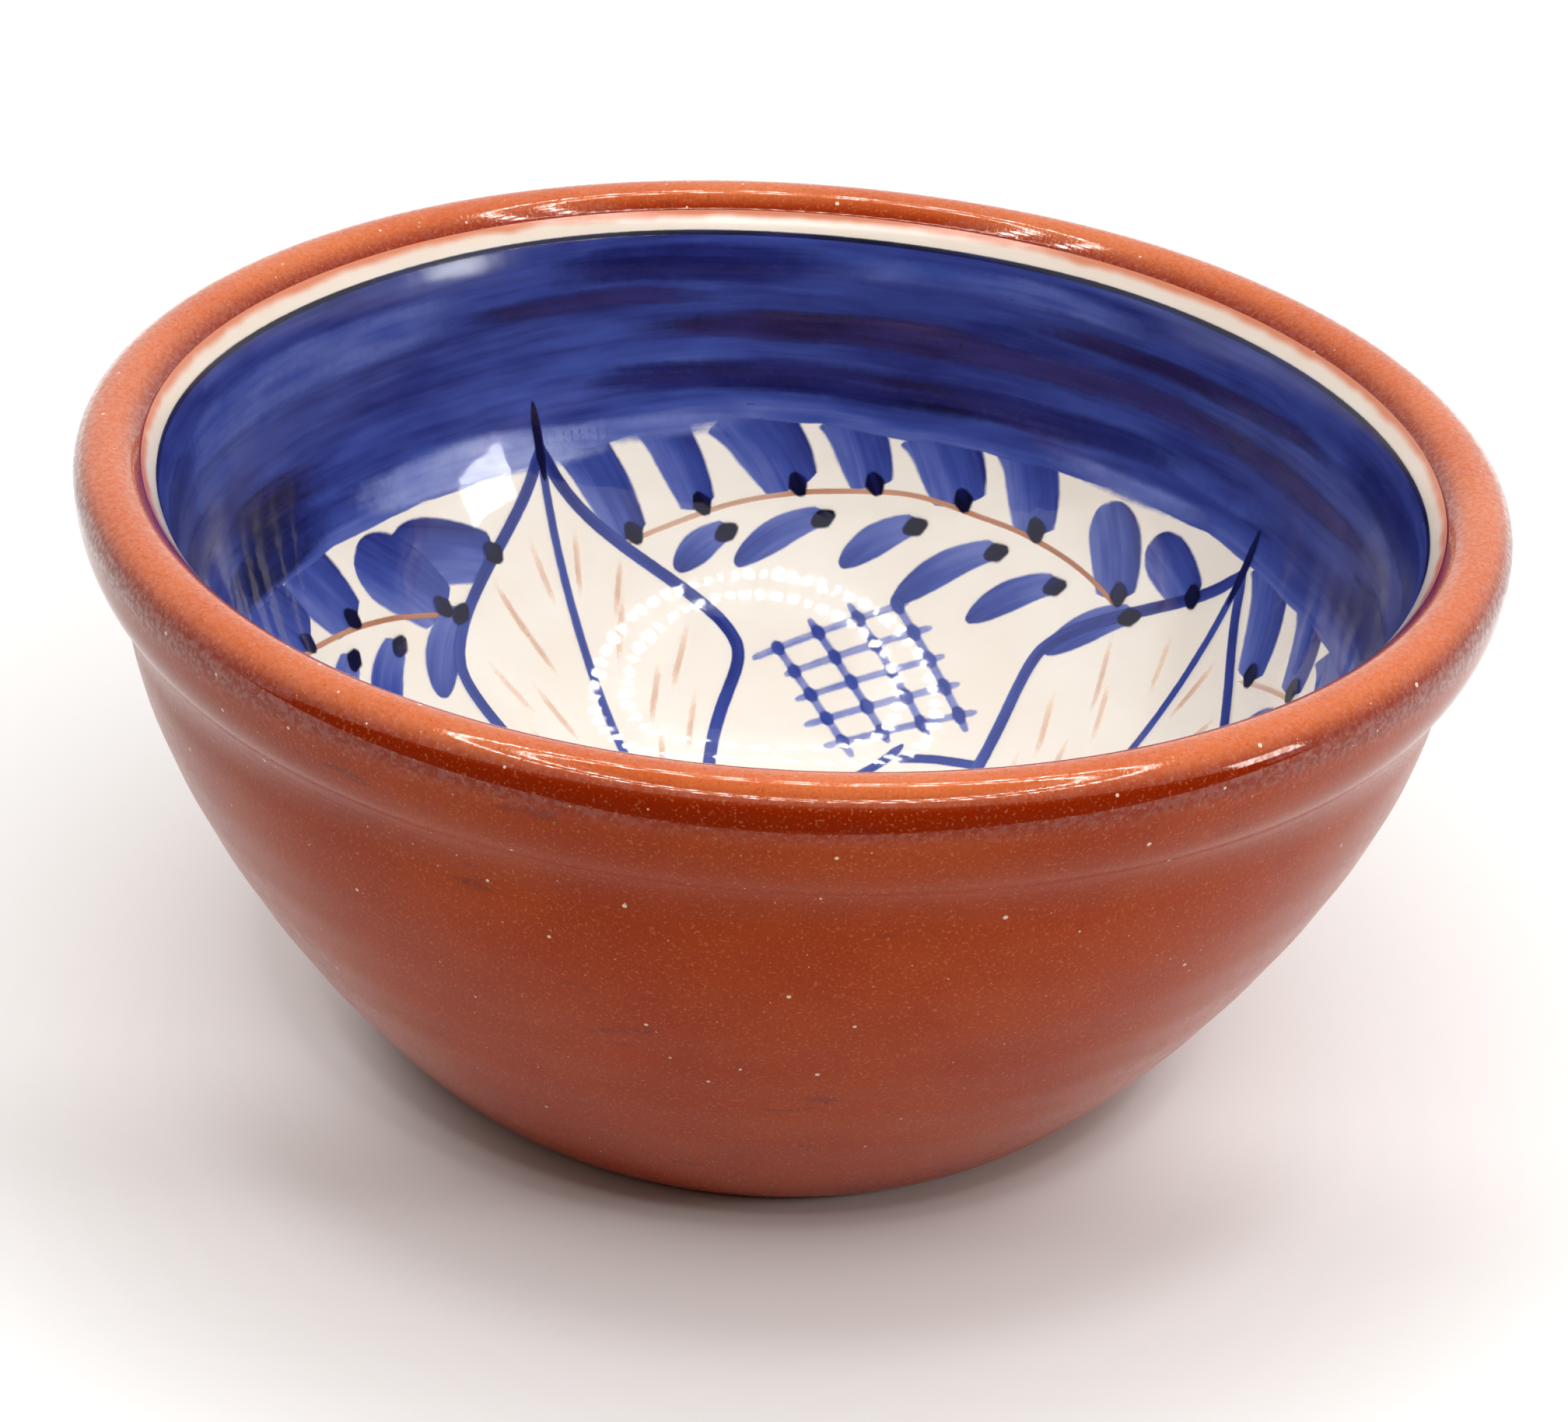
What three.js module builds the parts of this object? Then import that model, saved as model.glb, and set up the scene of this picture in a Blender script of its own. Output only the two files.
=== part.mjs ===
// A hand-thrown earthenware bowl with a rolled rim, a white slip lining and brushed decoration inside.
// Millimetres, +Z up. The origin is the middle of the flat foot, on the table.
// The inside is described along the lining: "drop" is the distance down the lining from the slip's edge.
import * as THREE from 'three';

// Clay body, outside
const rimRadius = 70;           // widest line of the rolled rim
const bowlHeight = 64.75;       // table to the crest of the rim
const rollRadius = 3.25;        // round of the rim's crest
const rollDepth = 9.2;          // widest line of the rim down to the groove under it
const grooveInset = 4.8;        // groove's depth in from the rim's widest line
const rollSwell = 2.2;          // how far the rim swells straight out of the groove
const rollFlank = 5;            // height of the rim's upright flank
const bellyHeight = 36.5;       // height of the point that draws the belly out
const bellyOutset = 2.3;        // that point's distance out from the groove
const footRadius = 35.9;        // flat foot that stands on the table
const heelFlare = 6.7;          // how far the wall leans out as it leaves the foot
const heelRise = 3.3;           // and how far it rises there

// Clay body, inside, to the face of the slip
const wallThickness = 5.2;      // clay and slip together, at the groove
const floorThickness = 9.1;     // clay and slip together, in the middle
const floorInset = 11.9;        // flat floor's edge in from the foot's edge
const floorSweep = 14;          // how far the floor runs on as it turns up into the wall
const hollowHeight = 29.5;      // height of the point that draws the hollow out
const hollowInset = 3.7;        // that point's distance in from the inner neck
const lipRise = 6.2;            // inner neck up to the turn of the lip
const lipSlope = 4;             // length of the slope from that turn to the crest

// Coats
const slipThickness = 0.6;
const paintThickness = 0.25;
const coatGap = 0.25;           // clearance between a coat and what it lies on
const paintGap = 0.6;           // clearance between neighbouring brush marks
const bareLip = 1.4;            // bare clay between the crest and the slip's edge

// Painted border
const lineDrop = 2.4;           // slip's edge down to the dark line
const lineWidth = 0.6;
const bandWidth = 21.3;

// Petals
const petalCount = 4;
const firstPetalAngle = 30.5;   // degrees round from +X
const petalHalfWidth = 16.8;    // at the shoulder
const petalShoulder = 19.5;     // tip down to the shoulder
const petalStroke = 1.2;        // width of a brushed line
const tipNotch = 1.6;           // length of the midrib's edge that a side stroke leaves from
const tipSpread = 2.5;          // how far the sides part under the tip
const tipPull = 7;              // and how far down they do it
const shoulderEase = 1.7;       // how far the sides draw in above the shoulder
const shoulderPull = 9.5;       // and how far up they do it
const tailPull = 9.5;           // how far the sides run straight below the shoulder
const tailSpread = 6.7;         // half the width that the sides are drawn in to
const tailLift = 14;            // and how far that is from the petal's root
const tailEnd = 1.8;            // where a side stroke ends, out from the midrib
const tailGap = 5;              // and short of the root
const centreDotRadius = 5;

// Fern sprays
const stemDrop = 5.8;           // border down to the middle of the stem
const stemSag = 6.7;            // how much lower the stem's ends hang
const stemWidth = 0.7;
const leafPitch = 10.2;         // leaf to leaf along the stem
const leafBase = 1.9;           // width of a leaf where it meets the stem
const leafWidth = 3.4;
const leafReach = 7.4;          // how far a leaf runs round the bowl
const innerLeafFall = 7;        // how far a leaf under the stem runs down
const leafSwell = [[0, 1], [0.32, 0.6], [0.58, 1], [0.82, 0.85], [1, 0]];  // shares of length and of width

// Lattices and scallops
const latticePitch = 3.4;       // line to line, along the other lines
const latticeStroke = 0.8;
const latticeSlope = 39;        // degrees of a line off level
const latticeEnd = 1.5;         // how far a line runs on past the last one that it crosses
const latticeGap = 2;           // clear ground between a lattice and its neighbours
const scallopDrop = 36.4;       // border down to the middle of a scallop
const scallopRise = 3.2;        // how much higher a scallop's ends lie

// Facets
const turnFacets = 60;
const dotFacets = 24;
const wallSteps = 12;
const rollSteps = 6;
const bandSteps = 5;
const ribSteps = 8;
const sideSteps = 18;
const scallopSteps = 12;

const clay = new THREE.MeshStandardMaterial({ color: 0xb5653c, roughness: 0.3, metalness: 0 });
const slip = new THREE.MeshStandardMaterial({ color: 0xf0e8da, roughness: 0.25, metalness: 0 });
const cobalt = new THREE.MeshStandardMaterial({ color: 0x2a3792, roughness: 0.25, metalness: 0 });
const darkCobalt = new THREE.MeshStandardMaterial({ color: 0x14143c, roughness: 0.25, metalness: 0 });

const bowl = new THREE.Group();
bowl.name = 'bowl';

function addPiece(name, geometry, material) {
  const piece = new THREE.Mesh(geometry, material);
  piece.name = name;
  bowl.add(piece);
}

// Profiles are drawn with x as the radius and y as the height, and turned about the bowl's axis.
function turned(profile, facets) {
  const geometry = new THREE.LatheGeometry(profile, facets);
  geometry.rotateX(Math.PI / 2);
  return geometry;
}

// The face of the slip, from the middle of the floor up to the crest of the rim.
const neckRadius = rimRadius - grooveInset;
const grooveHeight = bowlHeight - rollRadius - rollDepth;
const innerNeckRadius = neckRadius - wallThickness;
const floorRadius = footRadius - floorInset;
const rollCentre = new THREE.Vector2(rimRadius - rollRadius, bowlHeight - rollRadius);
const lipAngle = THREE.MathUtils.degToRad(135);
const lipEnd = new THREE.Vector2(Math.cos(lipAngle), Math.sin(lipAngle))
  .multiplyScalar(rollRadius)
  .add(rollCentre);
const lipTurn = lipEnd.clone().addScalar(-lipSlope * Math.SQRT1_2);
const neckLean = hollowInset / (grooveHeight - hollowHeight);

const inside = new THREE.Path();
inside.moveTo(0, floorThickness);
inside.lineTo(floorRadius, floorThickness);
inside.bezierCurveTo(
  floorRadius + floorSweep, floorThickness,
  innerNeckRadius - hollowInset, hollowHeight,
  innerNeckRadius, grooveHeight,
);
inside.bezierCurveTo(
  innerNeckRadius + neckLean * lipRise, grooveHeight + lipRise,
  lipTurn.x, lipTurn.y,
  lipEnd.x, lipEnd.y,
);
const insideLength = inside.getLength();
const liningLength = insideLength - bareLip;

// A point of the lining's profile, raised off the slip's face by "lift", or sunk below it.
function liningPoint(drop, lift) {
  const along = THREE.MathUtils.clamp((liningLength - drop) / insideLength, 0, 1);
  const point = inside.getPoint(along);
  const tangent = inside.getTangent(along);
  return new THREE.Vector2(point.x - tangent.y * lift, point.y + tangent.x * lift);
}

function liningRadius(drop) {
  return liningPoint(drop, 0).x;
}

function liningStrip(fromDrop, toDrop, steps, lift) {
  const points = [];
  for (let i = 0; i <= steps; i++) {
    points.push(liningPoint(fromDrop + ((toDrop - fromDrop) * i) / steps, lift));
  }
  return points;
}

// A coat's own profile, from the slip's edge to the middle of the floor.
const wallDrop = liningLength - floorRadius;
function coatProfile(lift) {
  const points = liningStrip(0, wallDrop, wallSteps, lift);
  points.push(new THREE.Vector2(0, floorThickness + lift));
  return points;
}

// Clay body: foot, wall, groove and rolled rim, then the bare lip and the hollow that takes the slip.
function clayBody() {
  const wall = new THREE.CubicBezierCurve(
    new THREE.Vector2(footRadius, 0),
    new THREE.Vector2(footRadius + heelFlare, heelRise),
    new THREE.Vector2(neckRadius + bellyOutset, bellyHeight),
    new THREE.Vector2(neckRadius, grooveHeight),
  );
  const underRoll = new THREE.CubicBezierCurve(
    new THREE.Vector2(neckRadius, grooveHeight),
    new THREE.Vector2(neckRadius + rollSwell, grooveHeight),
    new THREE.Vector2(rimRadius, rollCentre.y - rollFlank),
    new THREE.Vector2(rimRadius, rollCentre.y),
  );
  const crest = new THREE.EllipseCurve(
    rollCentre.x, rollCentre.y, rollRadius, rollRadius, 0, lipAngle,
  );
  const slipBed = coatProfile(-slipThickness - coatGap);
  const profile = [
    new THREE.Vector2(0, 0),
    ...wall.getPoints(wallSteps),
    ...underRoll.getPoints(rollSteps).slice(1),
    ...crest.getPoints(rollSteps).slice(1),
    liningPoint(-coatGap, 0),
    liningPoint(-coatGap, -slipThickness - coatGap),
    ...slipBed.slice(1),
  ];
  return turned(profile, turnFacets);
}

function slipLining() {
  const face = coatProfile(0);
  const back = coatProfile(-slipThickness);
  return turned([...back.reverse(), ...face], turnFacets);
}

// Paint stands clear of the flat facets that stand in for the round lining.
const facetRise = rimRadius * (1 - Math.cos(Math.PI / turnFacets));
const stepRises = coatProfile(0).slice(0, wallSteps).map((point, i) => {
  const chordMiddle = point.clone().lerp(coatProfile(0)[i + 1], 0.5);
  return chordMiddle.distanceTo(liningPoint((wallDrop * (i + 0.5)) / wallSteps, 0));
});
const paintLift = coatGap + facetRise + Math.max(...stepRises);
const paintTop = paintLift + paintThickness;

function paintedRing(fromDrop, toDrop, steps) {
  const face = liningStrip(fromDrop, toDrop, steps, paintTop);
  const back = liningStrip(toDrop, fromDrop, steps, paintLift);
  return turned([...back, ...face, back[0]], turnFacets);
}

// A brush mark is drawn as cells on the lining. Each point has its angle round the bowl and its drop.
class BrushMark {
  constructor() {
    this.points = [];
    this.cells = [];
  }

  point(angle, drop) {
    this.points.push({ angle, drop });
    return this.points.length - 1;
  }

  cell(...corners) {
    const flat = corners.map((i) => new THREE.Vector2(this.points[i].angle, this.points[i].drop));
    this.cells.push(THREE.ShapeUtils.area(flat) < 0 ? corners.reverse() : corners);
  }

  // One pull of the brush along a route of {angle, drop, half}, where half is half the mark's width.
  // It starts from the edge between two points that are already there, or from its first point.
  stroke(route, startEdge = null) {
    const sides = { left: [], right: [] };
    route.forEach((at, i) => {
      if (i === 0 && startEdge) {
        sides.left.push(startEdge[0]);
        sides.right.push(startEdge[1]);
        return;
      }
      const before = route[Math.max(i - 1, 0)];
      const after = route[Math.min(i + 1, route.length - 1)];
      const radius = liningRadius(at.drop);
      const heading = new THREE.Vector2((after.angle - before.angle) * radius, after.drop - before.drop);
      heading.normalize().multiplyScalar(at.half);
      if (at.half === 0) {
        const tip = this.point(at.angle, at.drop);
        sides.left.push(tip);
        sides.right.push(tip);
      } else {
        sides.left.push(this.point(at.angle - heading.y / radius, at.drop + heading.x));
        sides.right.push(this.point(at.angle + heading.y / radius, at.drop - heading.x));
      }
      const corners = [sides.left[i - 1], sides.right[i - 1], sides.right[i], sides.left[i]];
      if (i > 0) {
        this.cell(...(at.half === 0 ? corners.slice(0, 3) : corners));
      }
    });
    return sides;
  }

  // The mark as a closed film: its face, its back and a wall round every free edge.
  film() {
    const positions = [];
    for (const lift of [paintTop, paintLift]) {
      for (const { angle, drop } of this.points) {
        const { x, y } = liningPoint(drop, lift);
        positions.push(x * Math.cos(angle), x * Math.sin(angle), y);
      }
    }
    const back = this.points.length;
    const edges = new Set();
    this.cells.forEach((corners) => {
      corners.forEach((from, i) => edges.add(`${from},${corners[(i + 1) % corners.length]}`));
    });
    const faces = [];
    for (const corners of this.cells) {
      for (let i = 2; i < corners.length; i++) {
        faces.push(corners[0], corners[i - 1], corners[i]);
        faces.push(back + corners[0], back + corners[i], back + corners[i - 1]);
      }
      corners.forEach((from, i) => {
        const to = corners[(i + 1) % corners.length];
        if (!edges.has(`${to},${from}`)) {
          faces.push(to, from, back + from);
          faces.push(to, back + from, back + to);
        }
      });
    }
    const geometry = new THREE.BufferGeometry();
    geometry.setAttribute('position', new THREE.Float32BufferAttribute(positions, 3));
    geometry.setIndex(faces);
    geometry.computeVertexNormals();
    return geometry;
  }
}

// Border: the line is drawn on the wheel, and the band is brushed below it.
const bandDrop = lineDrop + lineWidth + paintGap;
const borderDrop = bandDrop + bandWidth;

// Petal: from the border's edge, out to the shoulder and in again towards the middle of the floor.
const quarter = (2 * Math.PI) / petalCount;
const firstPetal = THREE.MathUtils.degToRad(firstPetalAngle);
const tipDrop = borderDrop + paintGap;
const rootDrop = liningLength - centreDotRadius - paintGap;
const shoulderDrop = tipDrop + petalShoulder;

const petalSide = new THREE.CurvePath();
petalSide.add(new THREE.CubicBezierCurve(
  new THREE.Vector2(petalStroke / 2, tipDrop + tipNotch / 2),
  new THREE.Vector2(tipSpread, tipDrop + tipPull),
  new THREE.Vector2(petalHalfWidth - shoulderEase, shoulderDrop - shoulderPull),
  new THREE.Vector2(petalHalfWidth, shoulderDrop),
));
petalSide.add(new THREE.CubicBezierCurve(
  new THREE.Vector2(petalHalfWidth, shoulderDrop),
  new THREE.Vector2(petalHalfWidth, shoulderDrop + tailPull),
  new THREE.Vector2(tailSpread, rootDrop - tailLift),
  new THREE.Vector2(tailEnd, rootDrop - tailGap),
));
const sidePoints = petalSide.getSpacedPoints(sideSteps);

// Half the angle that a petal takes up at some drop, to the outside of its side stroke.
function petalHalfAngle(drop) {
  const next = sidePoints.findIndex((point, i) => i > 0 && (point.y >= drop || i === sideSteps));
  const to = sidePoints[next];
  const from = sidePoints[next - 1];
  const share = (drop - from.y) / (to.y - from.y);
  const across = THREE.MathUtils.lerp(from.x, to.x, share) + petalStroke / 2;
  return across / liningRadius(drop);
}

// Half the angle of the clear ground between two petals.
function groundHalfAngle(drop) {
  return quarter / 2 - petalHalfAngle(drop) - paintGap / liningRadius(drop);
}

function petal(angle) {
  const mark = new BrushMark();
  const half = petalStroke / 2;
  const ribDrops = [tipDrop, tipDrop + tipNotch];
  for (let i = 1; i <= ribSteps; i++) {
    ribDrops.push(tipDrop + tipNotch + ((rootDrop - tipDrop - tipNotch) * i) / ribSteps);
  }
  const rib = mark.stroke(ribDrops.map((drop) => ({ angle, drop, half })));
  for (const side of [1, -1]) {
    const route = sidePoints.map(({ x, y }) => (
      { angle: angle + (side * x) / liningRadius(y), drop: y, half }
    ));
    const edge = side > 0 ? [rib.right[1], rib.right[0]] : [rib.left[0], rib.left[1]];
    mark.stroke(route, edge);
  }
  return mark.film();
}

// Fern: a stem that hangs between two petals, with leaves slanting the same way on both of its sides.
const stemEndDrop = borderDrop + stemDrop + stemSag;
const stemHalfAngle = groundHalfAngle(stemEndDrop);
function stemDropAt(turn) {
  return borderDrop + stemDrop + stemSag * (turn / stemHalfAngle) ** 2;
}

function fern(middle) {
  const mark = new BrushMark();
  const stemRadius = liningRadius(borderDrop + stemDrop);
  const pitch = leafPitch / stemRadius;
  const baseHalf = leafBase / 2 / stemRadius;
  const reach = leafReach / stemRadius;
  const firstLeaf = -stemHalfAngle + 2 * baseHalf;
  const lastOuter = groundHalfAngle(tipDrop + paintGap) - reach;
  const turns = [-stemHalfAngle];
  const leaves = [];
  for (let i = 0; firstLeaf + (i * pitch) / 2 < stemHalfAngle - baseHalf; i++) {
    const turn = firstLeaf + (i * pitch) / 2;
    const above = i % 2 === 0;
    const tipDropHere = above ? borderDrop + paintGap : stemDropAt(turn) + innerLeafFall;
    const room = above ? lastOuter : groundHalfAngle(tipDropHere) - reach - leafWidth / 2 / stemRadius;
    if (turn < room) {
      leaves.push({ turn, above, tipDropHere, station: turns.length });
      turns.push(turn - baseHalf, turn + baseHalf);
    }
  }
  turns.push(stemHalfAngle);
  const stem = mark.stroke(turns.map((turn) => (
    { angle: middle + turn, drop: stemDropAt(turn), half: stemWidth / 2 }
  )));
  for (const { turn, above, tipDropHere, station } of leaves) {
    const rootDropHere = stemDropAt(turn);
    const route = leafSwell.map(([share, fullness]) => ({
      angle: middle + turn + reach * share,
      drop: THREE.MathUtils.lerp(rootDropHere, tipDropHere, share),
      half: (fullness * leafWidth) / 2,
    }));
    const edge = above
      ? [stem.right[station + 1], stem.right[station]]
      : [stem.left[station], stem.left[station + 1]];
    mark.stroke(route, edge);
  }
  return mark.film();
}

// Scallop: a line that sags from petal to petal under the lattice.
const scallopEndDrop = borderDrop + scallopDrop - scallopRise;
const scallopHalfAngle = groundHalfAngle(scallopEndDrop);
function scallopDropAt(turn) {
  return borderDrop + scallopDrop - scallopRise * (turn / scallopHalfAngle) ** 2;
}

function scallop(middle) {
  const mark = new BrushMark();
  const route = [];
  for (let i = 0; i <= scallopSteps; i++) {
    const turn = THREE.MathUtils.lerp(-scallopHalfAngle, scallopHalfAngle, i / scallopSteps);
    route.push({ angle: middle + turn, drop: scallopDropAt(turn), half: petalStroke / 2 });
  }
  mark.stroke(route);
  return mark.film();
}

// Lattice: two sets of slanting lines that cross, as many as the ground between its neighbours takes.
function lattice(middle) {
  const mark = new BrushMark();
  const slope = THREE.MathUtils.degToRad(latticeSlope);
  const rising = new THREE.Vector2(Math.cos(slope), -Math.sin(slope));
  const falling = new THREE.Vector2(Math.cos(slope), Math.sin(slope));
  const reach = latticeStroke / 2 / Math.sin(2 * slope);
  const topDrop = borderDrop + stemDrop + innerLeafFall + latticeGap;
  const bottomDrop = scallopEndDrop - latticeGap;
  const middleDrop = (topDrop + bottomDrop) / 2;
  const groundWidth = 2 * groundHalfAngle(middleDrop) * liningRadius(middleDrop) - 2 * latticeGap;
  const stepsDown = (bottomDrop - topDrop) / (latticePitch * Math.sin(slope));
  const stepsAcross = groundWidth / (latticePitch * Math.cos(slope));
  const cells = Math.max(2, Math.floor(Math.min(stepsDown, stepsAcross)));
  const risingLines = Math.floor(cells / 2) + 1;
  const fallingLines = cells - risingLines + 2;
  const placed = (across, drop) => mark.point(middle + across / liningRadius(drop), drop);
  const start = rising.clone().multiplyScalar(-(fallingLines - 1) / 2)
    .addScaledVector(falling, -(risingLines - 1) / 2)
    .multiplyScalar(latticePitch)
    .add(new THREE.Vector2(0, middleDrop));
  const corner = (centre, alongRising, alongFalling) => {
    const at = centre.clone().addScaledVector(rising, alongRising).addScaledVector(falling, alongFalling);
    return placed(at.x, at.y);
  };
  const crossings = [];
  for (let i = 0; i < fallingLines; i++) {
    crossings.push([]);
    for (let j = 0; j < risingLines; j++) {
      const centre = start.clone()
        .addScaledVector(rising, i * latticePitch)
        .addScaledVector(falling, j * latticePitch);
      const crossing = {
        centre,
        low: [corner(centre, -reach, -reach), corner(centre, -reach, reach)],
        high: [corner(centre, reach, -reach), corner(centre, reach, reach)],
      };
      crossings[i].push(crossing);
      mark.cell(crossing.low[0], crossing.high[0], crossing.high[1], crossing.low[1]);
    }
  }
  crossings.forEach((row, i) => row.forEach(({ centre, low, high }, j) => {
    if (i === 0) {
      mark.cell(low[0], low[1], corner(centre, -latticeEnd, reach), corner(centre, -latticeEnd, -reach));
    }
    if (j === 0) {
      mark.cell(low[0], high[0], corner(centre, reach, -latticeEnd), corner(centre, -reach, -latticeEnd));
    }
    if (i === fallingLines - 1) {
      mark.cell(high[0], high[1], corner(centre, latticeEnd, reach), corner(centre, latticeEnd, -reach));
    } else {
      const next = crossings[i + 1][j];
      mark.cell(high[0], high[1], next.low[1], next.low[0]);
    }
    if (j === risingLines - 1) {
      mark.cell(low[1], high[1], corner(centre, reach, latticeEnd), corner(centre, -reach, latticeEnd));
    } else {
      const next = crossings[i][j + 1];
      mark.cell(low[1], high[1], next.high[0], next.low[0]);
    }
  }));
  return mark.film();
}

function centreDot() {
  const bottom = floorThickness + paintLift;
  const top = floorThickness + paintTop;
  const profile = [
    new THREE.Vector2(0, bottom),
    new THREE.Vector2(centreDotRadius, bottom),
    new THREE.Vector2(centreDotRadius, top),
    new THREE.Vector2(0, top),
  ];
  return turned(profile, dotFacets);
}

addPiece('clay_body', clayBody(), clay);
addPiece('slip_lining', slipLining(), slip);
addPiece('border_line', paintedRing(lineDrop, lineDrop + lineWidth, 1), darkCobalt);
addPiece('border_band', paintedRing(bandDrop, borderDrop, bandSteps), cobalt);
addPiece('centre_dot', centreDot(), darkCobalt);
for (let i = 0; i < petalCount; i++) {
  const petalAngle = firstPetal + i * quarter;
  const between = petalAngle + quarter / 2;
  addPiece(`petal_${i + 1}`, petal(petalAngle), cobalt);
  addPiece(`fern_${i + 1}`, fern(between), cobalt);
  addPiece(`lattice_${i + 1}`, lattice(between), cobalt);
  addPiece(`scallop_${i + 1}`, scallop(between), cobalt);
}

export default bowl;
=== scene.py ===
"""A hand-thrown earthenware bowl with a rolled rim and a painted inside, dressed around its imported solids.
Metres, +Z up. The origin is the middle of the flat foot, on the table."""
import math

import bpy
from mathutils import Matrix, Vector, noise
from mathutils.geometry import interpolate_bezier


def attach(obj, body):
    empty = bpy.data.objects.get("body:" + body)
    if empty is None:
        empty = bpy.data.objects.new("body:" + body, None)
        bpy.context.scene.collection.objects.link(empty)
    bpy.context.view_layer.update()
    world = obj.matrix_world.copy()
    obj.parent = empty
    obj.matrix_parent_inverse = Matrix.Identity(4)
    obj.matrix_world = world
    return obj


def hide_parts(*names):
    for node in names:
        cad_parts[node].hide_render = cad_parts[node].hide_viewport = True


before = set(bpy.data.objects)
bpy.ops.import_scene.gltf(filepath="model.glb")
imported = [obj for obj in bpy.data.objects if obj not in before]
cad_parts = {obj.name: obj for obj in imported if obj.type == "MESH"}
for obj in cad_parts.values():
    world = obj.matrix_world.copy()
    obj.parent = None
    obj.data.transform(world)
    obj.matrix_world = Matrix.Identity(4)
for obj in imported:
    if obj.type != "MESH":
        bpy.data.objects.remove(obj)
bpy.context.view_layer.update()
bpy.context.scene.view_settings.view_transform = "Standard"


# Clay body: the bowl itself, thrown from one lump of red clay with fine sand in it. The wall is drawn up
# from a flat foot, its edge is rolled outwards into a thick rim, and the fingers leave a groove under the
# roll and shallow rings down the wall. All but the foot is dipped in clear glaze, thickest on the roll.
mm = 0.001
rim_radius = 70 * mm
bowl_height = 64.75 * mm
roll_radius = 3.25 * mm
neck_radius = 65.2 * mm
groove_height = 52.3 * mm
foot_radius = 35.9 * mm
heel_round = 1.1 * mm
inner_neck_radius = 60 * mm
floor_radius = 24 * mm
floor_height = 9.1 * mm
bare_lip = 1.4 * mm
slip_thickness = 0.6 * mm
slip_taper = 2.5 * mm
ring_pitch = 6.5 * mm
ring_depth = 0.035 * mm
groove_first_step = 65
groove_last_step = 6
groove_pulls = (2.3 * mm, 1.2 * mm)
finger_pitch = 0.95 * mm
finger_depth = 0.008 * mm
turn_steps = 256
wobble = 0.5 * mm
wobble_length = 45 * mm
glaze_roughness = 0.035


def profile_curve(start, first_pull, second_pull, end, steps):
    """Points of a smooth curve in the bowl's section, where x is the radius."""
    corners = [Vector((x, 0, z)) for x, z in (start, first_pull, second_pull, end)]
    return interpolate_bezier(*corners, steps)


wall = profile_curve(
    (foot_radius, 0), (42.6 * mm, 3.3 * mm), (67.5 * mm, 36.5 * mm), (neck_radius, groove_height), 72
)
for step, point in enumerate(wall):
    fade = math.sin(math.pi * step / (len(wall) - 1))
    point.x += ring_depth * fade * math.sin(math.tau * point.z / ring_pitch)
groove_start = wall[groove_first_step]
heel_start = (foot_radius - heel_round, 0)
heel = profile_curve(heel_start, (foot_radius, 0), (foot_radius, 0), (wall[2].x, wall[2].z), 8)
under_roll = profile_curve(
    (neck_radius, groove_height),
    (67.4 * mm, groove_height),
    (rim_radius, 56.5 * mm),
    (rim_radius, bowl_height - roll_radius),
    20,
)
groove_end = under_roll[groove_last_step]
wall_heading = (groove_start - wall[groove_first_step - 1]).normalized()
roll_heading = (under_roll[groove_last_step + 1] - groove_end).normalized()
groove = interpolate_bezier(
    groove_start,
    groove_start + wall_heading * groove_pulls[0],
    groove_end - roll_heading * groove_pulls[1],
    groove_end,
    26,
)
for step, point in enumerate(groove):
    fade = math.sin(math.pi * step / (len(groove) - 1))
    point.x += finger_depth * fade * math.sin(math.tau * point.z / finger_pitch)
roll_centre = Vector((rim_radius - roll_radius, 0, bowl_height - roll_radius))
crest = []
for step in range(1, 19):
    angle = math.radians(135) * step / 18
    crest.append(roll_centre + roll_radius * Vector((math.cos(angle), 0, math.sin(angle))))

# The face of the inside, from the middle of the floor up to the crest. The slip's edge lies just below
# the crest, and "drop" is the distance down the inside from that edge.
lip_end = crest[-1]
face = [Vector((floor_radius * step / 24, 0, floor_height)) for step in range(24)]
face += profile_curve(
    (floor_radius, floor_height),
    (38 * mm, floor_height),
    (56.3 * mm, 29.5 * mm),
    (inner_neck_radius, groove_height),
    90,
)
face += profile_curve(
    (inner_neck_radius, groove_height),
    (61 * mm, 58.5 * mm),
    (61.62 * mm, 60.97 * mm),
    (lip_end.x, lip_end.z),
    30,
)[1:]
face_lengths = [0.0]
for start, end in zip(face, face[1:]):
    face_lengths.append(face_lengths[-1] + (end - start).length)
lining_length = face_lengths[-1] - bare_lip


def face_point(distance):
    """The point of the inside's section at a distance from the middle of the floor."""
    last = len(face) - 1
    step = next((i for i in range(1, last) if face_lengths[i] >= distance), last)
    span = face_lengths[step] - face_lengths[step - 1]
    return face[step - 1].lerp(face[step], (distance - face_lengths[step - 1]) / span)


def inside_point(drop, lift):
    """A point of the section, raised off the face of the inside by lift, or sunk below it."""
    distance = lining_length - drop
    point = face_point(distance)
    along = face_point(distance + 0.5 * mm) - face_point(distance - 0.5 * mm)
    along.normalize()
    return Vector((point.x - along.z * lift, 0, point.z + along.x * lift))


def slip_depth(drop):
    """Thickness of the slip, which thins out to nothing at its edge."""
    share = min(1.0, max(0.0, drop / slip_taper))
    return slip_thickness * share * (2 - share)


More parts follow.
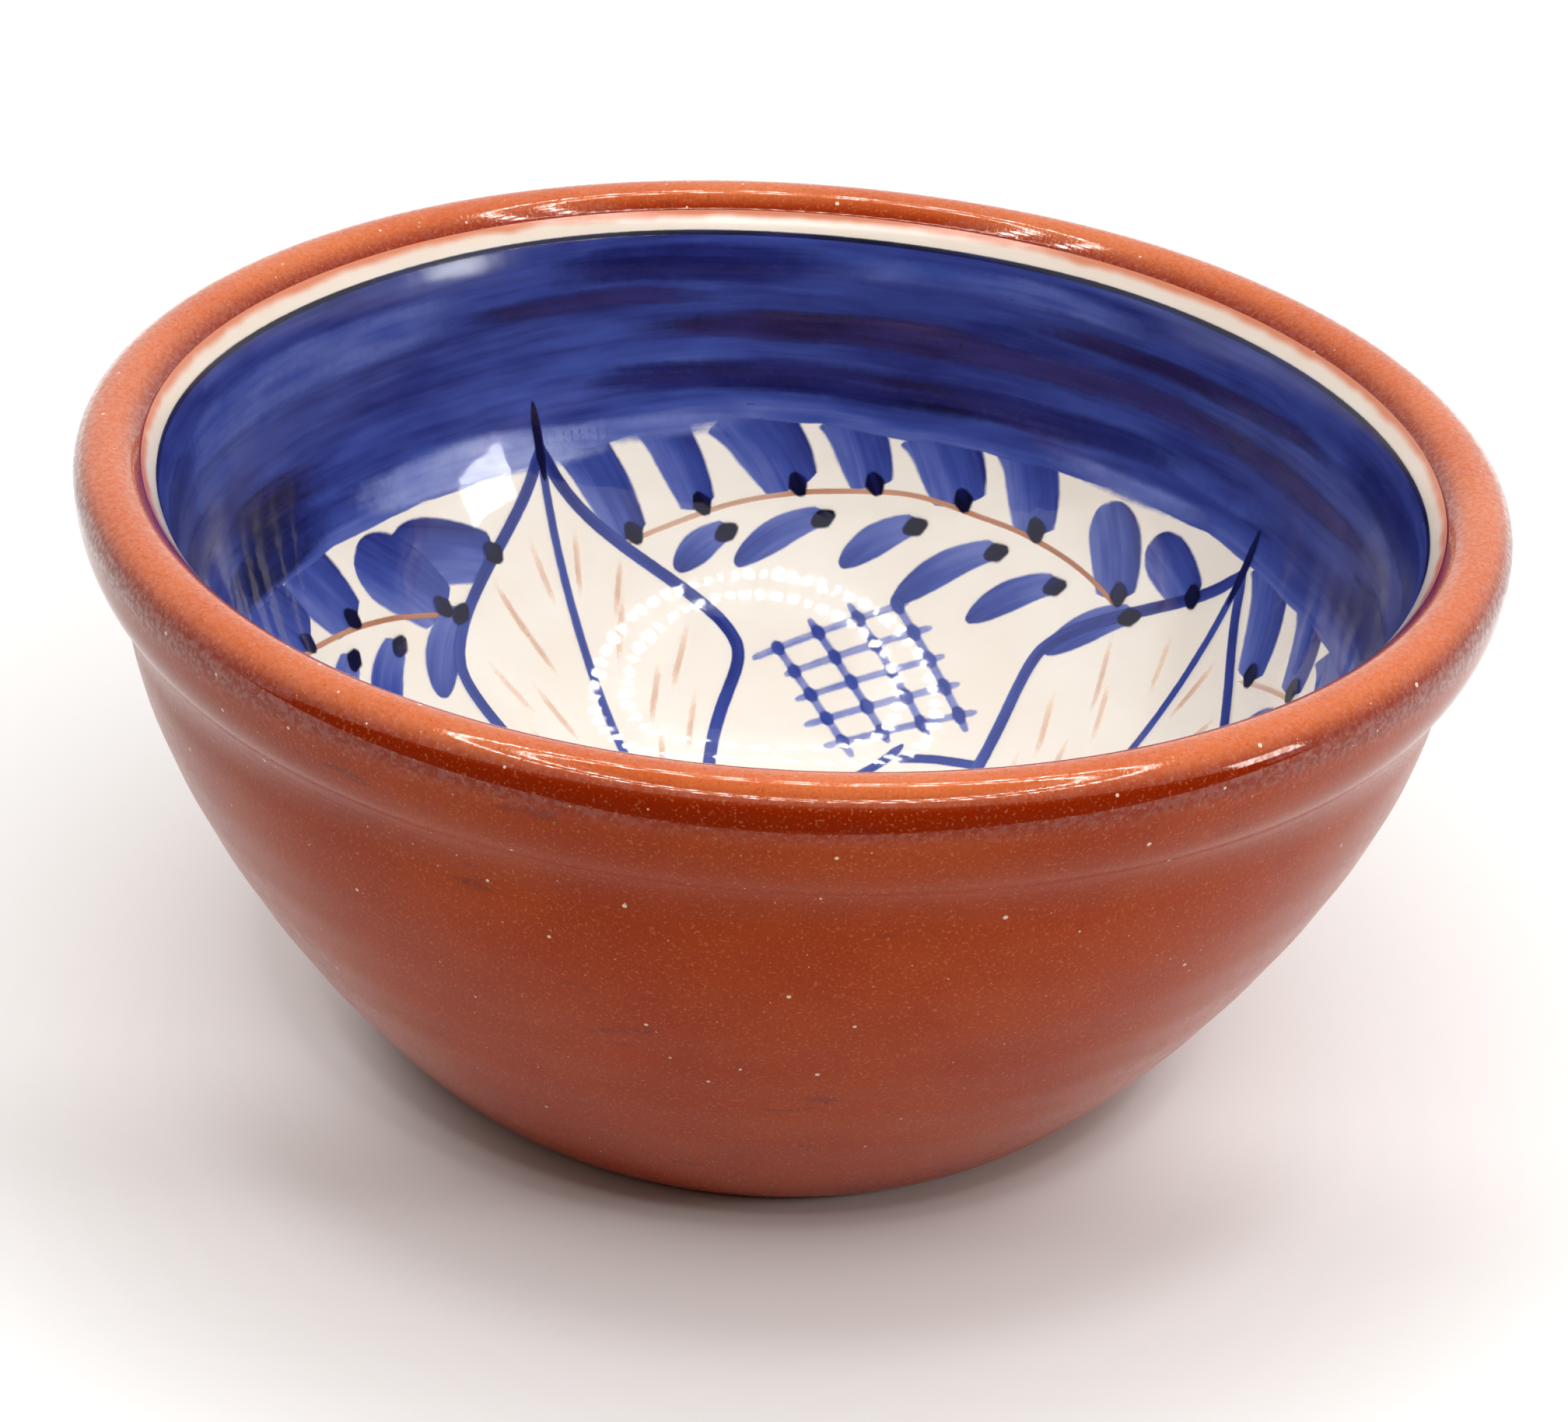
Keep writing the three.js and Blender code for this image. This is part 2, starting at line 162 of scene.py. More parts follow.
def wheel_turned(name, outline):
    """A vertex drawn along the outline and spun round the wheel's axis."""
    bpy.ops.object.select_all(action="DESELECT")
    bpy.ops.mesh.primitive_plane_add(size=mm)
    piece = bpy.context.object
    piece.name = piece.data.name = name
    bpy.ops.object.mode_set(mode="EDIT")
    bpy.ops.mesh.select_all(action="SELECT")
    bpy.ops.mesh.merge(type="CENTER")
    bpy.ops.transform.translate(value=outline[0])
    for start, end in zip(outline, outline[1:]):
        bpy.ops.mesh.extrude_vertices_move(TRANSFORM_OT_translate={"value": end - start})
    bpy.ops.mesh.select_all(action="SELECT")
    bpy.ops.mesh.spin(steps=turn_steps, angle=math.tau, center=(0, 0, 0), axis=(0, 0, 1))
    bpy.ops.mesh.select_all(action="SELECT")
    bpy.ops.mesh.remove_doubles(threshold=0.001 * mm)
    bpy.ops.mesh.normals_make_consistent(inside=False)
    bpy.ops.object.mode_set(mode="OBJECT")
    bpy.ops.object.shade_smooth_by_angle(angle=math.radians(50))
    return piece


wobble_texture = bpy.data.textures.new("hand_wobble", "CLOUDS")
wobble_texture.noise_scale = wobble_length
wobble_texture.noise_depth = 0


def out_of_true(piece):
    """Moves a piece sideways by the bowl's own wobble, so that all that lies on the bowl follows it."""
    bpy.ops.object.select_all(action="DESELECT")
    piece.select_set(True)
    bpy.context.view_layer.objects.active = piece
    for direction in ("X", "Y"):
        modifier = piece.modifiers.new("wobble_" + direction, "DISPLACE")
        modifier.texture = wobble_texture
        modifier.texture_coords = "GLOBAL"
        modifier.direction = direction
        modifier.mid_level = 0.5
        modifier.strength = wobble
        bpy.ops.object.modifier_apply(modifier=modifier.name)


class Value:
    """One output of a finish's nodes, so that shader maths can be written as Python expressions."""

    def __init__(self, finish, socket):
        self.finish = finish
        self.socket = socket

    def worked(self, operation, first, second):
        return self.finish.node("ShaderNodeMath", {"operation": operation}, {0: first, 1: second})

    def __add__(self, other):
        return self.worked("ADD", self, other)

    def __radd__(self, other):
        return self.worked("ADD", other, self)

    def __sub__(self, other):
        return self.worked("SUBTRACT", self, other)

    def __rsub__(self, other):
        return self.worked("SUBTRACT", other, self)

    def __mul__(self, other):
        return self.worked("MULTIPLY", self, other)

    def __rmul__(self, other):
        return self.worked("MULTIPLY", other, self)


class Finish:
    """A material, with one method that adds a node and a few short forms of it."""

    def __init__(self, name):
        self.material = bpy.data.materials.new(name)
        self.material.use_nodes = True
        self.tree = self.material.node_tree
        self.shader = self.tree.nodes["Principled BSDF"]

    def node(self, kind, settings, inputs, output=0):
        made = self.tree.nodes.new(kind)
        for key, value in settings.items():
            if key == "stops":
                self.set_stops(made.color_ramp, value)
            else:
                setattr(made, key, value)
        self.plug(made, inputs)
        return Value(self, made.outputs[output])

    def plug(self, made, inputs):
        for key, value in inputs.items():
            if isinstance(value, Value):
                self.tree.links.new(value.socket, made.inputs[key])
            else:
                made.inputs[key].default_value = value

    def set_stops(self, ramp, stops):
        while len(ramp.elements) < len(stops):
            ramp.elements.new(0.5)
        for element, (position, colour) in zip(ramp.elements, stops):
            element.position = position
            element.color = colour

    def place(self):
        return self.node("ShaderNodeTexCoord", {}, {}, "Object")

    def scaled(self, vector, scale):
        return self.node("ShaderNodeMapping", {}, {"Vector": vector, "Scale": scale})

    def noise(self, vector, scale, detail=2.0, roughness=0.5):
        inputs = {"Vector": vector, "Scale": scale, "Detail": detail, "Roughness": roughness}
        return self.node("ShaderNodeTexNoise", {}, inputs)

    def between(self, value, low, high):
        """Goes smoothly from 0 to 1 as the value goes from low to high."""
        inputs = {"Value": value, "From Min": low, "From Max": high}
        return self.node("ShaderNodeMapRange", {"interpolation_type": "SMOOTHSTEP"}, inputs)

    def mixed(self, factor, first, second):
        return self.node("ShaderNodeMix", {"data_type": "RGBA"}, {0: factor, 6: first, 7: second}, 2)

    def ramp(self, value, stops):
        return self.node("ShaderNodeValToRGB", {"stops": stops}, {0: value})

    def bump(self, height, strength, distance):
        inputs = {"Height": height, "Strength": strength, "Distance": distance}
        return self.node("ShaderNodeBump", {}, inputs)

    def grains(self, vector, spacing, smallest, largest, share):
        """Round grains of sand cut by the surface. A share of the cells, spacing apart, hold one."""
        cells = {"Vector": vector, "Scale": 1 / spacing}
        distance = self.node("ShaderNodeTexVoronoi", {}, cells, "Distance")
        colour = self.node("ShaderNodeTexVoronoi", {}, cells, "Color")
        size = self.node("ShaderNodeSeparateColor", {}, {0: colour}, "Red")
        chance = self.node("ShaderNodeSeparateColor", {}, {0: colour}, "Green")
        held = self.between(chance, 1 - share, 1 - share + 0.02)
        radius = (size * ((largest - smallest) / spacing) + smallest / spacing) * held
        return self.between(radius - distance, 0.0, 0.25 * smallest / spacing)


def srgb(red, green, blue):
    """A colour as it is read off a screen, 0 to 255, as a linear colour."""
    channels = []
    for channel in (red, green, blue):
        share = channel / 255
        channels.append(share / 12.92 if share <= 0.04045 else ((share + 0.055) / 1.055) ** 2.4)
    return (*channels, 1.0)


clay = Finish("glazed_red_clay")
place = clay.place()
height = clay.node("ShaderNodeSeparateXYZ", {}, {0: place}, "Z")
mottle = clay.noise(place, 45.0, 4.0, 0.6)
# A darker ring is painted round the side of the roll: painted shade, standing in for the dark band where the
# glaze mirrors the dark front of the room.
painted_shade_band_share = clay.between(height, 59.6 * mm, 61.4 * mm)
# The top of the roll is painted paler: a painted highlight, standing in for the white sheen of the light
# from above on the glaze.
painted_highlight_share = clay.between(height, 62.8 * mm, 64.6 * mm)
wall_colour = clay.mixed(clay.between(mottle, 0.3, 0.7), srgb(160, 50, 6), srgb(172, 63, 12))
painted_highlight_colour = clay.mixed(clay.between(mottle, 0.3, 0.7), srgb(198, 94, 48), srgb(209, 110, 62))
painted_shade_band_colour = clay.mixed(painted_shade_band_share, wall_colour, srgb(142, 36, 3))
colour = clay.mixed(painted_highlight_share, painted_shade_band_colour, painted_highlight_colour)
smears = clay.between(clay.noise(clay.scaled(place, (1, 1, 4)), 95.0, 3.0, 0.55), 0.66, 0.74)
colour = clay.mixed(smears * 0.5, colour, srgb(112, 40, 38))
grit = clay.noise(place, 3200.0, 2.0, 0.6)
colour = clay.mixed(clay.between(grit, 0.56, 0.72) * 0.3, colour, srgb(228, 150, 106))
colour = clay.mixed(clay.between(0.44 - grit, 0.0, 0.14) * 0.35, colour, srgb(116, 40, 20))
pale_grains = clay.grains(place, 3.0 * mm, 0.08 * mm, 0.25 * mm, 0.7)
fine_grains = clay.grains(place, 1.5 * mm, 0.05 * mm, 0.11 * mm, 0.5)
dark_grains = clay.grains(place, 3.4 * mm, 0.07 * mm, 0.18 * mm, 0.5)
colour = clay.mixed(pale_grains * 0.85, colour, srgb(246, 226, 206))
colour = clay.mixed(fine_grains * 0.7, colour, srgb(240, 205, 180))
colour = clay.mixed(dark_grains * 0.7, colour, srgb(84, 30, 20))
bare_foot = clay.between(1.2 * mm - height, 0.0, 0.8 * mm)
colour = clay.mixed(bare_foot, colour, srgb(196, 112, 72))
sheen = clay.between(clay.noise(place, 700.0, 3.0, 0.6), 0.35, 0.7)
thin_glaze = clay.between(58 * mm - height, 0.0, 6 * mm)
glint = clay.between(clay.noise(place, 1700.0, 1.0, 0.5), 0.4, 0.62)
relief = clay.noise(place, 2800.0, 1.0, 0.5) + pale_grains * 0.5 - dark_grains * 0.5
clay.plug(clay.shader, {
    "Base Color": colour,
    "Roughness": glaze_roughness + 0.05 * sheen + 0.16 * thin_glaze + 0.4 * bare_foot,
    "IOR": 1.28,
    "Specular Tint": srgb(255, 205, 160),
    "Coat Weight": (0.28 + 0.6 * glint) * clay.between(height, 58.5 * mm, 62 * mm),
    "Coat Roughness": 0.04,
    "Normal": clay.bump(relief, 1.0, 0.013 * mm),
})

bed = [inside_point(-bare_lip * (1 - step / 4), 0) for step in range(1, 4)]
bed += [inside_point(drop * mm / 4, -slip_depth(drop * mm / 4)) for drop in range(0, 12)]
bed_steps = 70
bed_start = 3 * mm
bed_end = lining_length - floor_radius
for step in range(bed_steps + 1):
    drop = bed_start + (bed_end - bed_start) * step / bed_steps
    bed.append(inside_point(drop, -slip_depth(drop)))
bed.append(Vector((0, 0, floor_height - slip_thickness)))
wall_part = wall[3:groove_first_step]
roll_part = under_roll[groove_last_step + 1:]
outline = [Vector((0, 0, 0)), *heel, *wall_part, *groove, *roll_part, *crest, *bed]
thrown_body = wheel_turned("thrown_body", outline)
out_of_true(thrown_body)
thrown_body.data.materials.append(clay.material)
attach(thrown_body, "root")
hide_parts("clay_body")


# Slip lining: white liquid clay, poured into the leather-hard bowl, swirled up to just under the crest
# and tipped out again. It thins at its edge, where the red clay glows through, and it lies under the
# clear glaze.
slip_clearance = 0.02 * mm
slip_steps = 96
satin_from = 38 * mm
satin_to = 48 * mm
ripple_strength = 0.26
ripple_depth = 0.1 * mm


def inside_glaze(finish, place, height):
    """The clear glaze over slip and paint: full gloss on the floor, more satin high on the wall."""
    sheen = finish.between(finish.noise(place, 500.0, 2.0, 0.5), 0.4, 0.7)
    satin = finish.between(height, satin_from, satin_to)
    ripple = finish.noise(place, 260.0, 2.0, 0.5)
    return {
        "Roughness": glaze_roughness + 0.03 * sheen + 0.12 * satin,
        "Normal": finish.bump(ripple, ripple_strength, ripple_depth),
    }


slip = Finish("glazed_white_slip")
place = slip.place()
height = slip.node("ShaderNodeSeparateXYZ", {}, {0: place}, "Z")
cloud = slip.noise(place, 60.0, 3.0, 0.55)
colour = slip.mixed(slip.between(cloud, 0.3, 0.7), srgb(239, 230, 215), srgb(245, 238, 226))
flecks = slip.grains(place, 5.2 * mm, 0.06 * mm, 0.16 * mm, 0.4)
colour = slip.mixed(flecks * 0.4, colour, srgb(190, 140, 105))
edge_height = inside_point(0, 0).z
ragged = height + (slip.noise(place, 160.0, 2.0, 0.5) - 0.5) * (1.1 * mm)
thin_edge = slip.between(ragged, edge_height - 1.0 * mm, edge_height - 0.2 * mm)
thin_slip = slip.between(ragged, edge_height - 2.8 * mm, edge_height - 0.3 * mm)
colour = slip.mixed(thin_slip * 0.6, colour, srgb(226, 200, 180))
colour = slip.mixed(thin_edge, colour, srgb(214, 128, 92))
slip.plug(slip.shader, {"Base Color": colour, **inside_glaze(slip, place, height)})

slip_face = [Vector((0, 0, floor_height))]
slip_back = []
for step in range(slip_steps + 1):
    drop = (lining_length - floor_radius) * (1 - step / slip_steps) ** 1.15
    slip_face.append(inside_point(drop, 0))
    slip_back.append(inside_point(drop, min(0, slip_clearance - slip_depth(drop))))
slip_back.reverse()
slip_back.append(Vector((0, 0, floor_height - slip_thickness + slip_clearance)))
slip_coat = wheel_turned("slip_coat", slip_face + slip_back[1:])
out_of_true(slip_coat)
slip_coat.data.materials.append(slip.material)
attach(slip_coat, "root")
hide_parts("slip_lining")


# Wheel line: a thin dark cobalt line, drawn with a loaded brush held still while the bowl turns on the
# wheel, just below the slip's edge. It is a film of pigment that has sunk into the glaze.
line_drop = 2.6
line_half = 0.4
line_load = 0.97
soft_edge = 0.32
film_lift = 0.04 * mm
least_radius = 0.5
bristle_shift = 41.3
blue_stops = [
    (0.0, srgb(168, 178, 220)),
    (0.25, srgb(110, 122, 186)),
    (0.5, srgb(62, 78, 154)),
    (0.72, srgb(38, 44, 112)),
    (0.88, srgb(24, 26, 86)),
    (1.0, srgb(15, 14, 42)),
]
brown_stops = [
    (0.0, srgb(238, 224, 208)),
    (0.3, srgb(219, 190, 170)),
    (0.6, srgb(186, 130, 102)),
    (1.0, srgb(110, 66, 50)),
]

pigment = Finish("painted_pigment")
place = pigment.place()
height = pigment.node("ShaderNodeSeparateXYZ", {}, {0: place}, "Z")
along_mark = pigment.node("ShaderNodeUVMap", {}, {})
load = pigment.node("ShaderNodeAttribute", {"attribute_name": "load"}, {}, "Fac")
cover = pigment.node("ShaderNodeAttribute", {"attribute_name": "cover"}, {}, "Fac")
brown = pigment.node("ShaderNodeAttribute", {"attribute_name": "brown"}, {}, "Fac")
bristles = pigment.noise(pigment.scaled(along_mark, (0.03, 1.1, 1)), 1.0, 3.0, 0.6)
pools = pigment.noise(pigment.scaled(along_mark, (0.09, 0.35, 1)), 1.0, 2.0, 0.5)
strength = load + (bristles - 0.5) * 0.3 + (pools - 0.5) * 0.4
blue = pigment.ramp(strength, blue_stops)
earth = pigment.ramp(strength, brown_stops)
frayed = pigment.noise(place, 900.0, 2.0, 0.5)
fringe = cover + (frayed - 0.5) * 0.3 + (bristles - 0.5) * 0.5
pigment.plug(pigment.shader, {
    "Base Color": pigment.mixed(brown, blue, earth),
    "Alpha": pigment.between(fringe, 0.1, 0.9),
    **inside_glaze(pigment, place, height),
})


def brush_mark(
    route, half_width, load, layer, brown=0.0, closed=False, rows=6, soft=soft_edge, fade=None, thin=1.0
):
    """One mark of the brush along a route of (turn in degrees, drop in millimetres) points.
    half_width and load are functions of the share of the mark's length, load also of the side, -1 to 1.
    soft is the width over which its sides fade, fade that of its ends, and thin how far it covers."""
    steps = len(route) - 1
    fade = fade or soft
    bpy.ops.object.select_all(action="DESELECT")
    bpy.ops.mesh.primitive_grid_add(x_subdivisions=steps, y_subdivisions=rows, size=1)
    mark = bpy.context.object
    mesh = mark.data
    radii = [max(inside_point(drop * mm, 0).x / mm, least_radius) for turn, drop in route]
    lengths = [0.0]
    for step in range(steps):
        across = math.radians(route[step + 1][0] - route[step][0]) * radii[step]
        lengths.append(lengths[-1] + math.hypot(across, route[step + 1][1] - route[step][1]))
    offset = bristle_shift * len(bpy.data.meshes)
    inner = 1 - 2 / rows
    covers, loads, places = [], [], []
    for vertex in mesh.vertices:
        step = round((vertex.co.x + 0.5) * steps)
        side = 2 * vertex.co.y
        share = lengths[step] / lengths[-1]
        if closed:
            before, after = route[(step - 1) % steps], route[(step + 1) % steps]
            turned = (after[0] - before[0]) % 360
        else:
            before, after = route[max(step - 1, 0)], route[min(step + 1, steps)]
            turned = after[0] - before[0]
        heading = Vector((math.radians(turned) * radii[step], after[1] - before[1]))
        heading.normalize()
        half = half_width(share)
        soft_share = max(0.4, 1 - soft / max(half, 0.01))
        on_edge = abs(side) > inner + 0.001
        reach = math.copysign(1, side) if on_edge else side / inner * soft_share
        turn = math.radians(route[step][0]) - reach * half * heading.y / radii[step]
        drop = route[step][1] + reach * half * heading.x
        point = inside_point(drop * mm, layer * film_lift)
        vertex.co = (point.x * math.cos(turn), point.x * math.sin(turn), point.z)
        end_distance = min(lengths[step], lengths[-1] - lengths[step])
        end_cover = thin if closed else thin * min(1.0, end_distance / fade)
        covers.append(0.0 if on_edge else end_cover)
        loads.append(load(share, reach))
        places.append((lengths[step] + offset, reach * half + offset))
    for name, values in (("cover", covers), ("load", loads), ("brown", [brown] * len(loads))):
        mesh.attributes.new(name, "FLOAT", "POINT").data.foreach_set("value", values)
    for loop in mesh.loops:
        mesh.uv_layers.active.data[loop.index].uv = places[loop.vertex_index]
    return mark


def painted(name, marks, node):
    """Joins the marks of one motif into a piece that follows the bowl."""
    bpy.ops.object.select_all(action="DESELECT")
    for mark in marks:
        mark.select_set(True)
    piece = marks[0]
    bpy.context.view_layer.objects.active = piece
    if len(marks) > 1:
        bpy.ops.object.join()
    piece.name = piece.data.name = name
    bpy.ops.object.mode_set(mode="EDIT")
    bpy.ops.mesh.select_all(action="SELECT")
    bpy.ops.mesh.remove_doubles(threshold=0.001 * mm)
    bpy.ops.object.mode_set(mode="OBJECT")
    bpy.ops.object.shade_smooth()
    out_of_true(piece)
    piece.data.materials.append(pigment.material)
    piece.visible_shadow = False
    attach(piece, "root")
    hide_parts(node)


def ring_route(drop, steps=240):
    return [(360 * step / steps, drop(360 * step / steps)) for step in range(steps + 1)]


def drift(turn, length, seed):
    """A slow, even wander round the bowl, -1 to 1, that meets itself after a full turn."""
    angle = math.radians(turn)
    round_place = Vector((math.cos(angle), math.sin(angle), 0)) * (57.3 / length)
    return noise.noise(round_place + Vector((0, 0, seed)))


line_route = ring_route(lambda turn: line_drop + 0.25 * drift(turn, 40, 3.1))
wheel_line = brush_mark(
    line_route, lambda share: line_half, lambda share, side: line_load, 3, closed=True, rows=4
)
painted("wheel_line", [wheel_line], "border_line")


# Cobalt border: the broad band under the line, laid on with a flat brush as the bowl turns, so its
# streaks run round. Some pulls hold more pigment and lie over it, and a last thin wash runs out below.
band_top = 2.5
band_bottom = 23.9
hang_depth = 4.3
band_pulls = [
    # turn from, turn to, drop, half width, load, brown
    (118, 40, 18.6, 2.6, 0.9, 0.0),
    (112, 8, 13.2, 2.1, 0.86, 0.06),
    (104, 66, 12.4, 1.7, 0.95, 0.13),
    (178, 147, 24.6, 3.6, 0.99, 0.0),
    (174, 145, 20.2, 3.2, 0.97, 0.03),
    (150, 108, 25.2, 3.2, 0.2, 0.0),
    (124, 92, 24.0, 2.0, 0.36, 0.0),
    (66, 34, 22.8, 1.8, 0.42, 0.0),
    (122, 84, 5.6, 2.8, 0.86, 0.0),
    (182, 124, 8.4, 3.6, 0.5, 0.0),
    (92, 48, 5.6, 2.2, 0.52, 0.0),
    (132, 96, 9.6, 1.6, 0.9, 0.05),
    (70, 20, 8.8, 1.6, 0.9, 0.05),
    (54, 24, 18.4, 2.2, 0.6, 0.0),
    (16, -20, 17.0, 3.4, 0.88, 0.0),
    (24, -28, 7.0, 3.0, 0.82, 0.0),
    (-14, -80, 18.0, 2.8, 0.9, 0.0),
    (-30, -66, 24.0, 2.2, 0.38, 0.0),
    (-50, -96, 6.4, 2.6, 0.55, 0.0),
    (-62, -136, 13.0, 2.0, 0.86, 0.08),
    (-90, -156, 19.4, 2.9, 0.9, 0.0),
    (-122, -156, 24.4, 2.2, 0.36, 0.0),
    (-149, -192, 8.0, 2.6, 0.82, 0.0),
    (194, 167, 16.5, 3.0, 0.86, 0.0),
]
pull_soft = 1.4
pull_fade = 11
pull_thin = 0.8
pull_steps = 40
band_load = 0.62


def band_edge(turn):
    """How far down the band reaches. It hangs lower on one side."""
    rise = min(1.0, max(0.0, (turn - 96) / 36))
    fall = min(1.0, max(0.0, (196 - turn) / 24))
    wander = 0.8 * drift(turn, 16, 7.7) + 0.5 * drift(turn, 5, 1.3)
    return band_bottom + hang_depth * min(rise, fall) + wander


def border_half(share):
    return (band_edge(360 * share) - band_top) / 2


def border_load(share, side):
    turn = 360 * share
    streak = 0.1 * drift(turn, 22, 5.0 + side) + 0.09 * drift(turn, 30, 9.0 + 4 * side)
    thinned = 0.22 * max(0.0, side - 0.6) / 0.4
    return band_load + streak - thinned


border_route = ring_route(lambda turn: (band_edge(turn) + band_top) / 2, 360)
border_marks = [brush_mark(border_route, border_half, border_load, 1, closed=True, rows=16)]
for turn_from, turn_to, drop, half, pull_load, pull_brown in band_pulls:
    route = []
    for step in range(pull_steps + 1):
        turn = turn_from + (turn_to - turn_from) * step / pull_steps
        route.append((turn, drop + 0.6 * drift(turn, 14, drop)))
    border_marks.append(brush_mark(
        route,
        lambda share, half=half: half * (0.72 + 0.28 * math.sin(math.pi * share)),
        lambda share, side, pull_load=pull_load: pull_load - 0.1 * share,
        1.5, brown=pull_brown, rows=8, soft=pull_soft, fade=pull_fade, thin=pull_thin,
    ))
painted("cobalt_border", border_marks, "border_band")


# Petals: four pointed petals from the border to the middle of the floor. Each is a midrib and two side
# strokes of a pointed brush, with pale brown dashes of iron wash for the veins.
petal_turns = [30.5, 120.5, 210.5, 300.5]
petal_sides = [
    # each side's fullness, the drop of its shoulder, and how full it stays below
    ((1.1, 43.5, 0.72), (0.94, 47.0, 0.6)),
    ((0.94, 46.0, 0.6), (1.05, 49.0, 0.44)),
    ((1.05, 47.0, 0.55), (0.96, 46.0, 0.65)),
    ((1.0, 46.5, 0.6), (1.04, 48.0, 0.55)),
]
petal_tip = 25.2
petal_root = lining_length / mm - 5.6
petal_width = 16.8
side_half = 0.88
rib_half = 0.66
tick_rise = 4.5
tick_half = 0.7
rib_load = 0.53
side_load = 0.57
vein_load = 0.34
vein_half = 0.55
vein_count = 7
vein_first = 33.5
vein_pitch = 4.0
vein_length = 9.6


def pulled(start, first_pull, second_pull, end, steps):
    """A brush's path, as points that crowd at its two ends."""
    corners = [Vector(corner) for corner in (start, first_pull, second_pull, end)]
    points = []
    for step in range(steps + 1):
        share = (1 - math.cos(math.pi * step / steps)) / 2
        rest = 1 - share
        points.append(
            corners[0] * rest ** 3
            + corners[1] * (3 * rest * rest * share)
            + corners[2] * (3 * rest * share * share)
            + corners[3] * share ** 3
        )
    return points


def on_bowl(middle, points):
    """Points given as (millimetres across, drop) turned to (degrees, drop) about a middle line."""
    route = []
    for across, drop in points:
        radius = max(inside_point(drop * mm, 0).x / mm, least_radius)
        route.append((middle + math.degrees(across / radius), drop))
    return route


def tapered(half, blunt=0.12):
    """A line's half width: full for most of its length, and round at its two ends."""
    return lambda share: half * min(1.0, math.sqrt(min(share, 1 - share) / blunt) + 0.02)


def even(load, swing=0.0):
    return lambda share, side: load + swing * (share - 0.5)


petal_outlines = {}
for number, (turn, sides) in enumerate(zip(petal_turns, petal_sides), 1):
    marks = []
    rib = pulled((0, petal_tip - tick_rise), (0.4, 45), (-1.2, 70), (0, petal_root), 60)
    marks.append(brush_mark(on_bowl(turn, rib), tapered(rib_half, 0.05), even(rib_load, -0.12), 4, rows=4))
    tick = pulled((0.3, petal_tip - tick_rise - 1), (0.2, 23), (0.1, 25), (0, 29), 12)
    marks.append(brush_mark(on_bowl(turn, tick), tapered(tick_half, 0.3), even(0.95), 4.5, rows=4))
    for side, (full, shoulder, hold) in zip((1, -1), sides):
        width = petal_width * full * side
        upper = pulled(
            (0, petal_tip - 1),
            (2 * side, shoulder - 12.5),
            (width * 0.97, shoulder - 6.5),
            (width, shoulder),
            36,
        )
        lower = pulled(
            (width, shoulder),
            (width, shoulder + 5),
            (width * hold, shoulder + 20 * hold),
            (side, petal_root - 1.5),
            40,
        )
        outline = upper + lower[1:]
        side_route = on_bowl(turn, outline)
        petal_outlines[number, side] = side_route
        marks.append(brush_mark(side_route, tapered(side_half, 0.04), even(side_load, -0.1), 4, rows=4))
        for vein in range(vein_count):
            start = vein_first + vein_pitch * vein
            edge = min(outline, key=lambda point: abs(point.y - start - 1)).x
            from_share, to_share = (0.78, 0.5) if vein % 2 else (0.5, 0.26)
            length = vein_length + 2 * noise.noise(Vector((vein * 2.3, number * 3.1, side)))
            dash = pulled(
                (edge * from_share, start),
                (edge * (from_share - 0.06), start + length / 3),
                (edge * (to_share + 0.06), start + 2 * length / 3),
                (edge * to_share, start + length),
                14,
            )
            marks.append(brush_mark(
                on_bowl(turn, dash), tapered(vein_half, 0.3), even(vein_load, 0.1), 2,
                brown=1.0, soft=0.55, fade=3.4, thin=0.7,
            ))
    painted(f"painted_petal_{number}", marks, f"petal_{number}")


# Fern sprays: a thin brown stem hangs between two petal tips. Broad blue leaves, each one press of a full
# brush, slant the same way on both of its sides, and each leaf starts from a dark dot.
fern_turns = [75.5, 165.5, 255.5, 345.5]
fern_shifts = [0, 3.5, -2, 1]
fern_hangs = [0, 5.0, 1.5, -3.0]
stem_top = 30.4
stem_sag = 6.5
stem_reach = 35
stem_half = 0.42
outer_leaves = [
    # turn from the middle, lean, half width, rise of the root, how far the tip runs into the border
    (-39.5, 9.0, 3.1, 7.6, -3.0),
    (-29.5, 6.0, 3.4, 0.2, -1.2),
    (-15.3, 3.6, 3.3, 0.2, 2.2),
    (-5.5, 4.8, 4.0, 0.2, 2.2),
    (4.9, 4.0, 3.3, 0.2, 2.2),
    (14.4, 7.4, 4.2, 0.2, 2.2),
    (26.0, 5.1, 2.8, 0.2, 2.2),
    (34.7, 6.1, 3.0, 0.2, 2.2),
]
inner_leaves = [
    # turn from the middle, lean and fall of each leaf below the stem, and its distance from the stem
    (-32.5, 9.6, 8.1, -0.8),
    (-21.3, 10.4, 7.3, 2.8),
    (-12.1, 12.2, 9.0, 2.8),
    (-0.9, 9.1, 6.3, 2.8),
    (10.1, 11.4, 6.4, 2.8),
    (22.3, 7.2, 4.8, 2.8),
]
leaf_fullness = [1.06, 1.3, 1.14, 1.1]
outer_leans = [1.0, 1.6, 1.15, 1.0]
inner_half = 1.95
dot_half = 1.4
dot_length = 2.9
dot_load = 1.0


